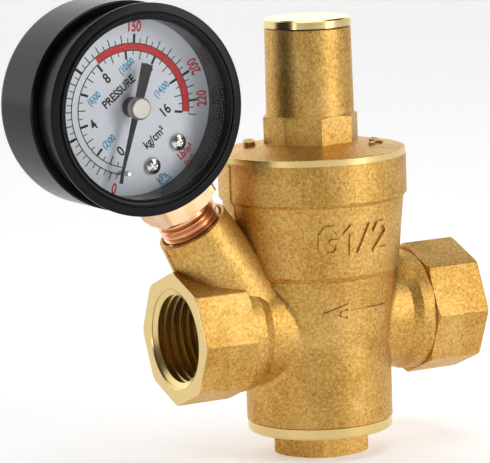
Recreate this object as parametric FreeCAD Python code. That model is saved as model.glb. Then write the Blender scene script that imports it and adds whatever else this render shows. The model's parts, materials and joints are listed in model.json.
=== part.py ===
import FreeCAD, Part
import math
import os

# A brass pressure reducing valve, G1/2, with a side gauge. Millimetres, +Z up.
# Everything is drawn about the port axis (z = 0 there, the body's axis on x = y = 0)
# and moved up at the end, so the flat base of the bottom plug lies on z = 0.
# The outlet faces -X, the inlet +X, and the front, where the gauge faces, is -Y.

V = FreeCAD.Vector
UP = V(0, 0, 1)

os.makedirs("parts", exist_ok=True)

# Overall sizes
port_height = 28.0  # port axis above the plug's flat base
port_reach = 34.64  # body axis to either port face
head_r = 20.05  # widest radius of the body, round the bonnet thread
neck_top = 63.1  # top of the bonnet's neck above the port axis
gauge_r = 21.75  # outside radius of the gauge

# G1/2 port thread
port_crest_r = 9.316
port_root_r = 10.478
port_pitch = 1.814
port_mouth_r = 10.75
port_turns = 6
port_plain = 3.0  # run-out left below the thread, at the crest radius
port_chamfer = port_mouth_r - port_root_r
port_depth = port_plain + port_pitch * (port_turns + 0.5) + port_chamfer
port_land = 0.16  # flat crests and roots, as a share of half the pitch
port_wall = port_plain + port_land * port_pitch / 2
passage_r = 7.0

# G1/4 gauge thread
gauge_major_r = 6.579
gauge_minor_r = 5.723
gauge_pitch = 1.337
gauge_thread_in = 8.5  # engaged in the boss
gauge_thread_out = 4.3  # left showing above the boss

# Port octagons and necks
octagon_corner_r = 14.3
octagon_length = 12.5
octagon_edge = 0.5
neck_r = 12.0
neck_flare = 1.1
root_fillet = 1.5

# Outside of the body, heights from the port axis
barrel_r = 15.65
barrel_base = -20.6
step_z = -3.3
waist_r = 16.1
waist_top_r = 16.9
waist_top = 10.7
cone_base = 11.9
cone_base_r = 17.9
cone_top = 26.7
cone_top_r = 19.3
head_base = 27.3
head_top = 35.7

# Chambers
lower_chamber_r = 9.5
web_bottom = 2.0
web_top = 5.0
upper_chamber_r = 13.0
upper_cone_z = 19.0
ledge_r = 14.5
ledge_z = 27.5
head_bore_r = 17.8
plug_bore_r = 11.5
plug_bore_top = -12.0
gap = 0.05  # radial running clearance

# Gauge boss: a spout leaning away from the body in the XZ plane
boss_lean = 58.7  # degrees above horizontal, towards -X
boss_x = -29.47
boss_z = 23.61
boss_rim_r = 7.8
boss_spread = 5.5  # degrees per side
boss_length = 24.0
sensing_r = 1.5

# Trim
seat_r = 5.0
seat_ring_r = 7.4
travel = 2.45
stem_r = 1.6
diaphragm_t = 1.2
plug_flange_r = 15.5
plug_flange_t = 2.5
plug_hex_r = 11.5
guide_r = 3.0

# Bonnet
flange_top = 37.0
flange_r = 20.0
cone_rise = 38.9
collar_r = 10.28
collar_turn = 28.0  # degrees from +X to the first corner
collar_top = 44.4
neck_low_r = 9.35
neck_high_r = 9.15
neck_bore_r = 7.6
screw_pitch = 1.5
cap_t = 2.0
seal_t = 0.2

# Gauge, depths along y: the dial faces -Y
gauge_rise = 31.6  # boss rim to gauge centre, along the boss
gauge_front = -14.1
gauge_seam = -4.3
gauge_back = 11.7
bezel_opening = 18.25
bezel_lip = -13.7  # front of the opening's edge, a little behind the rim
bezel_groove_r = 20.25
bezel_bore_r = 20.0
lens_front = -13.1
lens_t = 1.2
dial_y = -6.2
dial_t = 0.4
dial_r = 19.3  # inside the dial's upturned rim
dial_rim = -11.4  # top of that rim
pointer_y = -9.4
pointer_t = 0.3
pointer_reach = 15.5
pointer_tail = 9.6
pointer_rest = -107.0  # degrees anticlockwise from +X, seen from the front
dial_screw_r = 13.35
dial_screw_angles = (-38.1, -70.6)
stop_pin_r = 13.5
stop_pin_angle = -101.9

# Gauge movement
pinion_r = 1.0
sector_ratio = 9.0
sector_r = pinion_r * sector_ratio
sector_swing = 270.0 / sector_ratio
arbor_r = 0.45
front_plate_y = -4.9
back_plate_y = 2.4
plate_t = 0.8
tube_r = 15.6
tail_arm = 5.5

lean = math.radians(boss_lean)
boss_axis = V(-math.cos(lean), 0, math.sin(lean))
boss_rim = V(boss_x, 0, boss_z)
gauge_centre = boss_rim + boss_axis * gauge_rise
gauge_turn = 90.0 - boss_lean  # the gauge's own upright leans with its stem


# Building blocks


def solid(shape):
    cleaned = shape.removeSplitter()
    if len(cleaned.Solids) == 1:
        return cleaned.Solids[0]
    return Part.makeCompound(cleaned.Solids)


def outline(points):
    """Closed wire through (x, z, round) corners in the XZ plane, each corner rounded by its radius."""
    edges = []
    cursor = None
    first = None
    count = len(points)
    for i in range(count):
        corner = V(points[i][0], 0, points[i][1])
        radius = points[i][2] if len(points[i]) > 2 else 0
        before = V(points[i - 1][0], 0, points[i - 1][1]) - corner
        after = V(points[(i + 1) % count][0], 0, points[(i + 1) % count][1]) - corner
        start = corner
        end = corner
        arc = None
        if radius > 0:
            before.normalize()
            after.normalize()
            half = before.getAngle(after) / 2
            back_off = radius / math.tan(half)
            start = corner + before * back_off
            end = corner + after * back_off
            middle = before + after
            middle.normalize()
            deepest = corner + middle * (radius / math.sin(half) - radius)
            arc = Part.Arc(start, deepest, end).toShape()
        if cursor is not None and cursor.distanceToPoint(start) > 1e-6:
            edges.append(Part.makeLine(cursor, start))
        if first is None:
            first = start
        if arc is not None:
            edges.append(arc)
        cursor = end
    if cursor.distanceToPoint(first) > 1e-6:
        edges.append(Part.makeLine(cursor, first))
    return Part.Wire(edges)


def turned(points):
    """Solid of revolution about Z from (radius, z, round) corners."""
    body = Part.Face(outline(points)).revolve(V(0, 0, 0), UP, 360)
    if body.Volume < 0:
        body.reverse()
    return body


def rod(radius, z0, z1):
    return Part.makeCylinder(radius, z1 - z0, V(0, 0, z0))


def tube(inner, outer, z0, z1):
    return rod(outer, z0, z1).cut(rod(inner, z0 - 1, z1 + 1))


def box(x0, x1, y0, y1, z0, z1):
    return Part.makeBox(x1 - x0, y1 - y0, z1 - z0, V(x0, y0, z0))


def prism(sides, corner_r, z0, z1, first_corner, edge=0.0):
    """Upright prism whose corners lie at corner_r, the first at an angle from +X in degrees."""
    corners = []
    for i in range(sides):
        angle = math.radians(first_corner + 360.0 * i / sides)
        corners.append((corner_r * math.cos(angle), corner_r * math.sin(angle), edge))
    face = Part.Face(outline(corners))
    face.rotate(V(0, 0, 0), V(1, 0, 0), -90)
    face.translate(V(0, 0, z0))
    flat = face.extrude(V(0, 0, z1 - z0))
    return flat


def grooved(crest, root, pitch, turns, z0, land=port_land):
    """(radius, z) corners of parallel thread grooves climbing from z0, one pitch each."""
    corners = []
    for i in range(turns):
        z = z0 + i * pitch
        corners.append((crest, z + land * pitch / 2))
        corners.append((root, z + pitch / 2 - land * pitch / 2))
        corners.append((root, z + pitch / 2 + land * pitch / 2))
        corners.append((crest, z + pitch - land * pitch / 2))
    return corners


def spring(mean_r, wire_r, z0, z1, coils):
    """Compression spring whose first and last turns lie just inside z0 and z1."""
    height = z1 - z0 - 2 * wire_r
    path = Part.makeHelix(height / coils, height, mean_r)
    path.translate(V(0, 0, z0 + wire_r))
    first = path.Edges[0]
    start = first.valueAt(first.FirstParameter)
    heading = first.tangentAt(first.FirstParameter)
    section = Part.Wire(Part.makeCircle(wire_r, start, heading))
    return Part.Wire(path.Edges).makePipeShell([section], True, True)


def facing(shape, origin, direction):
    """Moves a shape drawn along +Z so that it starts at origin and runs along direction."""
    moved = shape.copy()
    moved.Placement = FreeCAD.Placement(origin, FreeCAD.Rotation(UP, direction))
    return moved


def along_y(shape, y=0.0):
    """Turns a shape drawn along +Z so that it runs along +Y, its z = 0 at depth y."""
    moved = shape.copy()
    moved.rotate(V(0, 0, 0), V(1, 0, 0), -90)
    moved.translate(V(0, y, 0))
    return moved


def on_gauge(shape):
    """Puts a shape drawn round the gauge's own axis, upright, on the leaning stem."""
    moved = shape.copy()
    moved.rotate(V(0, 0, 0), V(0, 1, 0), -gauge_turn)
    moved.translate(gauge_centre)
    return moved


def save(name, shape):
    placed = solid(shape)
    placed.translate(V(0, 0, port_height))
    placed.exportStep(os.path.join("parts", name + ".step"))


# Raised marks

stroke_w = 0.95
relief = 0.45


def stroke(x0, z0, x1, z1, width=stroke_w):
    """Round-ended bar in the XZ plane, deep enough in y to pass through any wall in front."""
    run = math.hypot(x1 - x0, z1 - z0)
    turn = math.degrees(math.atan2(z1 - z0, x1 - x0))
    bar = box(0, run, -head_r - 3, 0, -width / 2, width / 2)
    for x in (0, run):
        end = Part.makeCylinder(width * 0.52, head_r + 3, V(x, -head_r - 3, 0), V(0, 1, 0))
        bar = bar.fuse(end)
    bar.rotate(V(0, 0, 0), V(0, 1, 0), -turn)
    bar.translate(V(x0, 0, z0))
    return bar


def glyph(points, left, base, width, height):
    """Joined strokes through points given as fractions of a letter's box."""
    bars = []
    for a, b in zip(points, points[1:]):
        bars.append(
            stroke(
                left + a[0] * width,
                base + a[1] * height,
                left + b[0] * width,
                base + b[1] * height,
            )
        )
    return bars


def size_mark(left, base, height):
    """The thread size, G1/2, as raised strokes."""
    letter = height * 0.62
    g = [(1, 0.82), (0.75, 1), (0.25, 1), (0, 0.75), (0, 0.25), (0.25, 0), (0.8, 0), (1, 0.2)]
    g += [(1, 0.48), (0.6, 0.48)]
    one = [(0.1, 0.75), (0.5, 1), (0.5, 0)]
    slash = [(0, 0), (1, 1)]
    two = [(0, 0.75), (0.25, 1), (0.75, 1), (1, 0.68), (0, 0), (1, 0)]
    bars = glyph(g, left, base, letter, height)
    bars += glyph(one, left + letter * 1.35, base, letter, height)
    bars += glyph(slash, left + letter * 2.4, base, letter * 0.75, height)
    bars += glyph(two, left + letter * 3.55, base, letter, height)
    return bars


def flow_arrow(tail_x, head_x, z):
    """Arrow pointing towards the outlet: a raised outline head and a shaft."""
    head = 5.0
    half = 1.65
    bars = [stroke(tail_x, z, head_x + head * 0.75, z, 1.3)]
    bars.append(stroke(head_x, z, head_x + head, z + half, 0.8))
    bars.append(stroke(head_x, z, head_x + head, z - half, 0.8))
    bars.append(stroke(head_x + head, z + half, head_x + head, z - half, 0.8))
    return bars


def in_relief(bars, skin):
    """Raised marks: the strokes cut to a skin just proud of the casting."""
    return [bar.common(skin) for bar in bars]


# The casting


def body_profile(extra=0.0):
    return [
        (0, barrel_base),
        (barrel_r + extra, barrel_base),
        (barrel_r + extra, step_z),
        (waist_r + extra, step_z),
        (waist_top_r + extra, waist_top),
        (cone_base_r + extra, cone_base, 0.35),
        (cone_top_r + extra, cone_top, 0.3),
        (head_r + extra, head_base + 0.25, 0.3),
        (head_r + extra, head_top),
        (0, head_top),
    ]


def neck_flare_solid(side):
    """The neck swelling out to meet its octagon."""
    face_x = port_reach - octagon_length
    low_r = neck_r - 0.6
    high_r = neck_r + neck_flare
    cone = turned(
        [
            (0, face_x - 6.5),
            (low_r, face_x - 6.5),
            (neck_r + 0.75 * neck_flare, face_x - 2.8),
            (high_r, face_x + 0.4),
            (0, face_x + 0.4),
        ]
    )
    return facing(cone, V(0, 0, 0), V(side, 0, 0))


def port_octagon(side):
    start = port_reach - octagon_length
    length = octagon_length
    block = prism(8, octagon_corner_r, 0, length, 0, octagon_edge)
    flat_r = octagon_corner_r * math.cos(math.pi / 8)
    softened = turned(
        [
            (0, 0),
            (flat_r + 0.45, 0),
            (octagon_corner_r + 0.3, 0.55),
            (octagon_corner_r + 0.3, length - 0.35),
            (octagon_corner_r - 0.35, length),
            (0, length),
        ]
    )
    return facing(block.common(softened), V(side * start, 0, 0), V(side, 0, 0))


def boss_profile(extra=0.0):
    spread = math.tan(math.radians(boss_spread)) * boss_length
    return [
        (0, -boss_length),
        (boss_rim_r + spread + extra, -boss_length),
        (boss_rim_r + extra, 0, 0.4),
        (0, 0),
    ]


def boss_solid(extra=0.0):
    return facing(turned(boss_profile(extra)), boss_rim, boss_axis)


def parting_flash():
    """Thin raised line left where the casting mould's halves met."""
    width = 0.22
    rise = 0.22
    slab = box(-port_reach, 0, -width, width, cone_base + 0.5, head_top - 0.4)
    on_head = turned(body_profile(rise)).common(slab)
    spout = boss_solid(rise).common(box(-40, -5, -width, width, 0, boss_z + 8))
    rim_cut = facing(rod(20, -0.7, 10), boss_rim, boss_axis)
    return [on_head, spout.cut(rim_cut)]


def port_thread_cutter():
    """Everything cut away inside a port, from the passage at z = 0 out through the mouth."""
    corners = [(0, -1.6), (passage_r, -1.6), (passage_r, -0.6), (port_crest_r, 0)]
    corners += grooved(port_crest_r, port_root_r, port_pitch, port_turns, port_plain)
    mouth = port_depth - port_chamfer
    flat = port_land * port_pitch / 2
    corners += [(port_crest_r, mouth - port_pitch / 2 + flat), (port_root_r, mouth - flat)]
    corners += [(port_root_r, mouth), (port_mouth_r + 0.5, port_depth + 0.5), (0, port_depth + 0.5)]
    return turned(corners)


def port_bore(side):
    start = port_reach - port_depth
    return facing(port_thread_cutter(), V(side * start, 0, 0), V(side, 0, 0))


def bodys_hollows():
    start = port_reach - port_depth
    hollows = [
        turned(
            [
                (0, barrel_base - 1),
                (plug_bore_r, barrel_base - 1),
                (plug_bore_r, plug_bore_top),
                (lower_chamber_r, plug_bore_top),
                (lower_chamber_r, web_bottom, 1.0),
                (0, web_bottom),
            ]
        ),
        rod(seat_ring_r, web_bottom - 1, web_top + 1),
        turned(
            [
                (0, web_top),
                (upper_chamber_r, web_top, 1.0),
                (upper_chamber_r, upper_cone_z),
                (ledge_r, upper_cone_z + 4),
                (ledge_r, ledge_z),
                (head_bore_r, ledge_z),
                (head_bore_r, head_top + 1),
                (0, head_top + 1),
            ]
        ),
    ]
    for side in (-1, 1):
        hollows.append(port_bore(side))
        passage = rod(passage_r, upper_chamber_r + 1.5, start)
        hollows.append(facing(passage, V(0, 0, 0), V(side, 0, 0)))
    mouth = upper_chamber_r + 3
    hollows.append(box(lower_chamber_r - 3, mouth, -5, 5, -6, web_bottom - 0.5))
    hollows.append(box(-mouth, 1.5 - upper_chamber_r, -5, 5, -1, web_top + 4))
    gauge_hole = turned(
        [
            (0, -20),
            (sensing_r, -20),
            (sensing_r, -gauge_thread_in - 2),
            (gauge_major_r, -gauge_thread_in),
            (gauge_major_r, -1.0),
            (gauge_major_r + 0.55, 0.2),
            (0, 0.2),
        ]
    )
    hollows.append(facing(gauge_hole, boss_rim, boss_axis))
    return hollows


def rooted_necks(core):
    """A round core with both necks run into it through a cast fillet."""
    far = port_reach - octagon_length
    rooted = core.fuse(facing(rod(neck_r, -far, far), V(0, 0, 0), V(1, 0, 0))).removeSplitter()
    edges = []
    for edge in rooted.Edges:
        span = edge.LastParameter - edge.FirstParameter
        points = [edge.valueAt(edge.FirstParameter + span * k / 4) for k in range(5)]
        on_neck = all(abs(math.hypot(p.y, p.z) - neck_r) < 0.3 for p in points)
        if on_neck and all(abs(p.x) < far - 1 for p in points):
            edges.append(edge)
    return rooted.makeFillet(root_fillet, edges)


def waist_solid():
    """Straight barrel below the step line, a slow taper above it, and the necks through both."""
    far = port_reach
    slope = (waist_top_r - waist_r) / (waist_top - step_z)
    reach = neck_r + 8
    core = turned(
        [
            (0, -reach),
            (waist_r + slope * (-reach - step_z), -reach),
            (waist_r + slope * (reach - step_z), reach),
            (0, reach),
        ]
    )
    below = rooted_necks(rod(barrel_r, barrel_base, reach))
    below = below.common(box(-far, far, -far, far, barrel_base - 1, step_z))
    above = rooted_necks(core).common(box(-far, far, -far, far, step_z, reach + 1))
    return below.fuse(above)


def head_solid():
    return turned([(0, waist_top)] + body_profile()[4:])


def valve_body():
    flares = [neck_flare_solid(-1), neck_flare_solid(1)]
    waist = waist_solid().fuse([head_solid()] + flares)
    lumps = [port_octagon(-1), port_octagon(1), boss_solid()] + parting_flash()
    skin = turned(body_profile(relief)).cut(turned(body_profile(-1.0)))
    lumps += in_relief(size_mark(-8.3, 17.0, 5.6), skin)
    lumps += in_relief(flow_arrow(8.2, -6.8, 4.0), skin)
    body = waist.fuse(lumps)
    return body.cut(bodys_hollows())


def seat_ring():
    return turned(
        [
            (seat_r, web_bottom - 1.2),
            (seat_r + 0.7, web_bottom - 1.2),
            (seat_r + 1.2, web_bottom - 0.6),
            (seat_ring_r, web_bottom - 0.6),
            (seat_ring_r, web_top),
            (seat_r + 0.6, web_top),
            (seat_r, web_top - 0.6),
        ]
    )


def bottom_plug():
    base = -port_height
    flange_low = barrel_base - plug_flange_t
    head = prism(6, plug_hex_r, base, flange_low + 0.5, 1.0, 0.5)
    flat_r = plug_hex_r * math.cos(math.pi / 6)
    softened = [(0, base), (flat_r + 0.2, base, 0.6), (plug_hex_r + 0.3, base + 0.9)]
    softened += [(plug_hex_r + 0.3, 0), (0, 0)]
    head = head.common(turned(softened))
    flange = turned(
        [
            (0, flange_low),
            (plug_flange_r - 0.4, flange_low),
            (plug_flange_r, flange_low + 0.4),
            (plug_flange_r, barrel_base - 0.25),
            (plug_flange_r - 0.25, barrel_base),
            (0, barrel_base),
        ]
    )
    spigot = rod(plug_bore_r, barrel_base - 0.5, plug_bore_top)
    plug = head.fuse([flange, spigot])
    pocket = tube(guide_r + 1.4, 8.0, plug_bore_top - 6, plug_bore_top + 1)
    guide = rod(guide_r + gap, plug_bore_top - 8, plug_bore_top + 1)
    groove = tube(seal_inner_r, seal_outer_r, barrel_base - seal_depth, barrel_base + 1)
    return plug.cut([pocket, guide, groove])


seal_inner_r = 12.4
seal_outer_r = 13.8
seal_depth = 1.0


def bottom_plug_seal():
    return turned(
        [
            (seal_inner_r, barrel_base - seal_depth, 0.3),
            (seal_outer_r, barrel_base - seal_depth, 0.3),
            (seal_outer_r, barrel_base, 0.3),
            (seal_inner_r, barrel_base, 0.3),
        ]
    )


# Bonnet, spring and adjusting screw

clamp_top = ledge_z + diaphragm_t
slip_t = 0.8
bonnet_foot = clamp_top + slip_t


mark_r = 13.2  # from the bonnet's axis to the middle of either raised mark
lug_angle = 152.0
sign_angle = -36.0
lug_top = 39.35
lug_half = 1.3
lug_length = 3.4


def cast_lug():
    """Raised oval pad on the bonnet's flange with a dimple in it."""
    low = flange_top - 0.5
    near = V(mark_r - lug_half, -lug_length / 2, low)
    far = V(mark_r + lug_half, lug_length / 2, low)
    corners = [near, V(far.x, near.y, low), far, V(near.x, far.y, low)]
    right = Part.Arc(corners[2], V(mark_r, far.y + lug_half, low), corners[3]).toShape()
    left = Part.Arc(corners[0], V(mark_r, near.y - lug_half, low), corners[1]).toShape()
    sides = [Part.makeLine(corners[1], corners[2]), Part.makeLine(corners[3], corners[0])]
    rim = Part.Wire([left, sides[0], right, sides[1]])
    pad = Part.Face(rim).extrude(V(0, 0, lug_top - low))
    upper = [e for e in pad.Edges if e.BoundBox.ZMin > lug_top - 0.01]
    pad = pad.makeFillet(0.45, upper)
    pad = pad.cut(Part.makeCylinder(0.55, 1, V(mark_r - 0.1, 0.3, lug_top - 0.35)))
    pad.rotate(V(0, 0, 0), UP, lug_angle)
    return pad


def sign_mark():
    """Raised plus sign on the bonnet's flange with a bent arrow's ends beside it."""
    top = cone_rise + 1
    x = mark_r + 0.6
    parts = [box(x - 1.4, x + 1.4, -0.4, 0.4, flange_top - 1, top)]
    parts.append(box(x - 0.4, x + 0.4, -1.4, 1.4, flange_top - 1, top))
    for near in (-4.6, 2.4):
        bend = tube(x - 0.4, x + 0.4, flange_top - 1, top)
        parts.append(bend.common(box(0, 40, near, near + 2.2, 0, 60)))
    for part in parts:
        part.rotate(V(0, 0, 0), UP, sign_angle)
    return parts


def bonnet():
    outside = turned(
        [
            (0, bonnet_foot),
            (head_bore_r - 0.4, bonnet_foot),
            (head_bore_r, bonnet_foot + 0.4),
            (head_bore_r, head_top),
            (flange_r, head_top),
            (flange_r, flange_top),
            (flange_r - 0.35, flange_top + 0.12, 0.15),
            (neck_low_r, cone_rise),
            (neck_low_r, collar_top, 0.3),
            (neck_high_r, neck_top - 0.2),
            (neck_high_r - 0.2, neck_top),
            (0, neck_top),
        ]
    )
    collar = prism(8, collar_r, cone_rise - 0.6, collar_top + 0.4, collar_turn, 0.3)
    flat_r = collar_r * math.cos(math.pi / 8)
    collar = collar.common(
        turned(
            [
                (0, cone_rise - 0.6),
                (collar_r + 0.3, cone_rise - 0.6),
                (collar_r + 0.3, collar_top - 0.35),
                (flat_r - 0.15, collar_top + 0.4),
                (0, collar_top + 0.4),
            ]
        )
    )
    slope = (cone_rise - flange_top) / (flange_r - neck_low_r)
    rise = 0.55
    skin = turned(
        [
            (0, flange_top - 0.5),
            (flange_r - 1, flange_top - 0.5),
            (flange_r - 1, flange_top + rise + slope),
            (neck_low_r, cone_rise + rise),
            (0, cone_rise + rise),
        ]
    )
    marks = [cast_lug()]
    for mark in sign_mark():
        marks.append(mark.common(skin))
    cast = outside.fuse([collar] + marks)
    hollow = turned(
        [
            (0, bonnet_foot - 1),
            (ledge_r, bonnet_foot - 1),
            (ledge_r, head_top - 0.7, 1.5),
            (neck_bore_r, head_top - 0.7, 0),
            (neck_bore_r, neck_top + 1),
            (0, neck_top + 1),
        ]
    )
    return cast.cut(hollow)


def top_cap_seal():
    return tube(neck_bore_r - 0.9, neck_high_r - 0.45, neck_top, neck_top + seal_t)


cap_spigot = 3.6


def top_cap():
    """Turned cap with a threaded spigot; a slot-free face, gripped by its rim."""
    base = neck_top + seal_t
    top = neck_top + cap_t
    spigot_r = neck_bore_r - gap
    return turned(
        [
            (0, neck_top - cap_spigot),
            (spigot_r - 0.5, neck_top - cap_spigot),
            (spigot_r, neck_top - cap_spigot + 0.5),
            (spigot_r, neck_top - 0.9),
            (neck_bore_r - 1.0, neck_top - 0.6),
            (neck_bore_r - 1.0, base),
            (neck_high_r + 0.05, base),
            (neck_high_r + 0.05, top - 0.3),
            (neck_high_r - 0.25, top),
            (0, top),
        ]
    )


screw_low = 48.5
screw_top = 56.0
button_t = 2.6


def adjusting_screw():
    crest = neck_bore_r - gap
    shank = [(0, screw_low), (crest - 0.8, screw_low), (crest, screw_low + 0.8)]
    thread = grooved(crest, crest - 0.8, screw_pitch, 4, screw_low + 0.8)
    shank += thread + [(crest - 0.5, screw_top), (0, screw_top)]
    socket = prism(6, 3.5, screw_top - 4.5, screw_top + 1, 0)
    return turned(shank).cut(socket)


def spring_button():
    """Seat for the spring's upper end, pushed down by the screw's foot."""
    low = screw_low - button_t
    return turned(
        [
            (0, low - 2.0),
            (3.6, low - 2.0),
            (3.6, low),
            (neck_bore_r - 0.2, low),
            (neck_bore_r - 0.2, screw_low - 0.8),
            (4.0, screw_low),
            (0, screw_low),
        ]
    )


main_mean_r = 5.7
main_wire_r = 1.1


def main_spring():
    return spring(main_mean_r, main_wire_r, spring_low, screw_low - button_t, 6)


def slip_ring():
    return tube(ledge_r, head_bore_r - 0.05, clamp_top, bonnet_foot)


# Diaphragm and stem

plate_r = 10.4
plate_low = ledge_z - 1.2


def diaphragm():
    """Rubber sheet clamped round its rim, with one rolled fold and a flat middle."""
    low = plate_low
    high = ledge_z
    fold_in = plate_r + 0.7
    fold_out = ledge_r - 0.5
    t = diaphragm_t
    return turned(
        [
            (stem_r, low),
            (fold_in, low, 0.6),
            (fold_out, high, 0.6),
            (head_bore_r - 0.05, high),
            (head_bore_r - 0.05, high + t),
            (fold_out - 0.4, high + t, 0.6),
            (fold_in - 0.4, low + t, 0.6),
            (stem_r, low + t),
        ]
    )


def upper_diaphragm_plate():
    """Pressed plate above the diaphragm with a raised rim that centres the spring."""
    low = plate_low + diaphragm_t
    return turned(
        [
            (stem_r, low),
            (plate_r, low),
            (plate_r, low + 2.6),
            (plate_r - 0.9, low + 2.6),
            (plate_r - 1.3, low + 1.6),
            (stem_r, low + 1.6),
        ]
    )


spring_low = plate_low + diaphragm_t + 1.6


def lower_diaphragm_plate():
    return turned(
        [
            (stem_r, plate_low - 1.8),
            (plate_r - 1.2, plate_low - 1.8),
            (plate_r, plate_low - 0.6),
            (plate_r, plate_low),
            (stem_r, plate_low),
        ]
    )


nut_low = spring_low
nut_t = 2.2
disc_top = web_bottom - 1.25 - travel
washer_t = 0.9
disc_t = 2.2
holder_foot = disc_top - disc_t - 1.6
shoulder_r = 2.6


def valve_stem():
    """Stem from the nut above the diaphragm down into the disc holder, with two shoulders."""
    return turned(
        [
            (0, holder_foot - 5),
            (stem_r, holder_foot - 5),
            (stem_r, disc_top + washer_t),
            (shoulder_r, disc_top + washer_t),
            (shoulder_r, plate_low - 1.8),
            (stem_r, plate_low - 1.8),
            (stem_r, nut_low + nut_t + 1.0),
            (stem_r - 0.4, nut_low + nut_t + 1.4),
            (0, nut_low + nut_t + 1.4),
        ]
    )


def stem_nut():
    return prism(6, 3.6, nut_low, nut_low + nut_t, 0).cut(rod(stem_r, 0, 60))


def disc_holder():
    """Cup that carries the seat disc, with a tail that slides in the bottom plug."""
    rim_r = seat_ring_r - 0.4
    floor = disc_top - disc_t
    return turned(
        [
            (0, holder_foot - 11),
            (guide_r - 0.4, holder_foot - 11),
            (guide_r, holder_foot - 10.6),
            (guide_r, holder_foot),
            (rim_r, holder_foot),
            (rim_r, disc_top - 0.5),
            (rim_r - 0.6, disc_top - 0.5),
            (rim_r - 0.6, floor),
            (stem_r, floor),
            (stem_r, holder_foot - 5),
            (0, holder_foot - 5),
        ]
    )


def seat_disc():
    return tube(stem_r, seat_ring_r - 1.0, disc_top - disc_t, disc_top)


def disc_washer():
    return tube(stem_r, seat_r - 1.2, disc_top, disc_top + washer_t)


def return_spring():
    return spring(5.3, 0.4, plug_bore_top - 6, holder_foot, 7)


# Gauge housing


def gauge_stem():
    """Threaded stem, its wrench square, and the block inside the case that carries everything."""
    tail = gauge_rise
    enter = gauge_rise - gauge_r - 0.15
    crest = gauge_major_r
    thread_low = -gauge_thread_in + 0.6
    turns = int((gauge_thread_in + gauge_thread_out - 0.9) / gauge_pitch)
    thread_high = thread_low + turns * gauge_pitch
    profile = [(0, -gauge_thread_in + 0.02), (crest - 0.6, -gauge_thread_in + 0.02)]
    profile += grooved(crest, gauge_minor_r, gauge_pitch, turns, thread_low)
    profile += [(crest - 0.3, thread_high + 0.1), (crest - 0.9, thread_high + 0.3)]
    profile += [(crest - 0.9, gauge_thread_out + 0.4), (0, gauge_thread_out + 0.4)]
    threaded = turned(profile)
    square = prism(4, wrench_corner_r, gauge_thread_out, enter, 45, 0.8)
    rounded = turned(
        [
            (0, gauge_thread_out),
            (crest + 0.6, gauge_thread_out),
            (wrench_corner_r + 0.3, gauge_thread_out + 1.6),
            (wrench_corner_r + 0.3, enter + 1),
            (0, enter + 1),
        ]
    )
    neck = rod(3.4, enter - 1, tail - 16)
    outside = threaded.fuse([square.common(rounded), neck])
    outside = facing(outside, boss_rim, boss_axis)
    block = box(-block_half, block_half, block_front, block_back, block_foot, block_top)
    bridge = box(-block_half, block_half, back_plate_y + plate_t, block_back, block_top - 1, 4)
    lugs = box(-block_half, block_half, block_front, block_front + 3.0, block_top - 1, -11.4)
    inside = on_gauge(block.fuse([bridge, lugs]).cut(tube_solid(0)))
    way = facing(rod(sensing_r, -gauge_thread_in - 1, gauge_rise - 14), boss_rim, boss_axis)
    whole = outside.fuse(inside).cut([way])
    holes = []
    for angle in dial_screw_angles:
        holes.append(along_y(rod(0.9, 0, 3.4), block_front - 0.01))
        holes[-1].translate(dial_point(dial_screw_r, angle))
    for z in case_screw_heights:
        hole = along_y(rod(1.0, 0, 4.5), block_back - 4.0)
        hole.translate(V(0, 0, z))
        holes.append(on_gauge(hole))
    for x, z in movement_screw_spots:
        hole = along_y(rod(0.6, 0, 3.0), back_plate_y + plate_t - 0.01)
        hole.translate(V(x, 0, z))
        holes.append(on_gauge(hole))
    return whole.cut(holes)


wrench_corner_r = 9.3
block_half = 6.3
block_foot = -17.4
block_top = -13.4
block_front = dial_y + dial_t
block_back = gauge_back - 1.6
case_screw_heights = (-14.0, 0.5)
movement_screw_spots = ((-2.6, -6.4), (2.6, -6.4))


def dial_point(radius, angle):
    """A point of the dial, angles anticlockwise from +X as the reader sees them."""
    turn = math.radians(angle)
    return gauge_centre + V(radius * math.cos(turn), 0, radius * math.sin(turn))


def gauge_case():
    """Black cup with a rounded back edge; its wall lets the stem in below."""
    outer = gauge_r - 0.1
    wall = 1.4
    cup = turned(
        [
            (0, gauge_back),
            (outer, gauge_back, 2.6),
            (outer, gauge_seam + 0.35),
            (outer - 0.35, gauge_seam),
            (outer - wall, gauge_seam),
            (outer - wall, gauge_back - 1.6, 1.4),
            (0, gauge_back - 1.6),
        ]
    )
    cup = along_y(cup)
    holes = [Part.makeCylinder(3.6, 10, V(0, 0, -gauge_r - 2), UP)]
    for z in case_screw_heights:
        holes.append(Part.makeCylinder(1.2, 6, V(0, gauge_back - 3, z), V(0, 1, 0)))
    return on_gauge(cup.cut(holes))


def gauge_bezel():
    outer = gauge_r
    front = gauge_front
    ring = turned(
        [
            (bezel_opening, bezel_lip, 0.2),
            (bezel_groove_r - 0.25, bezel_lip - 0.15),
            (bezel_groove_r, bezel_lip + 0.1),
            (bezel_groove_r + 0.2, front + 0.05),
            (outer, front, 1.2),
            (outer, gauge_seam - 0.35),
            (outer - 0.35, gauge_seam),
            (bezel_bore_r, gauge_seam),
            (bezel_bore_r, lens_front),
            (bezel_opening, lens_front),
        ]
    )
    return on_gauge(along_y(ring))


lens_r = bezel_bore_r - 0.1


def gauge_lens():
    return on_gauge(along_y(rod(lens_r, lens_front, lens_front + lens_t)))


def lens_gasket():
    return on_gauge(along_y(tube(dial_r, lens_r, lens_front + lens_t, dial_rim)))


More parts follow.
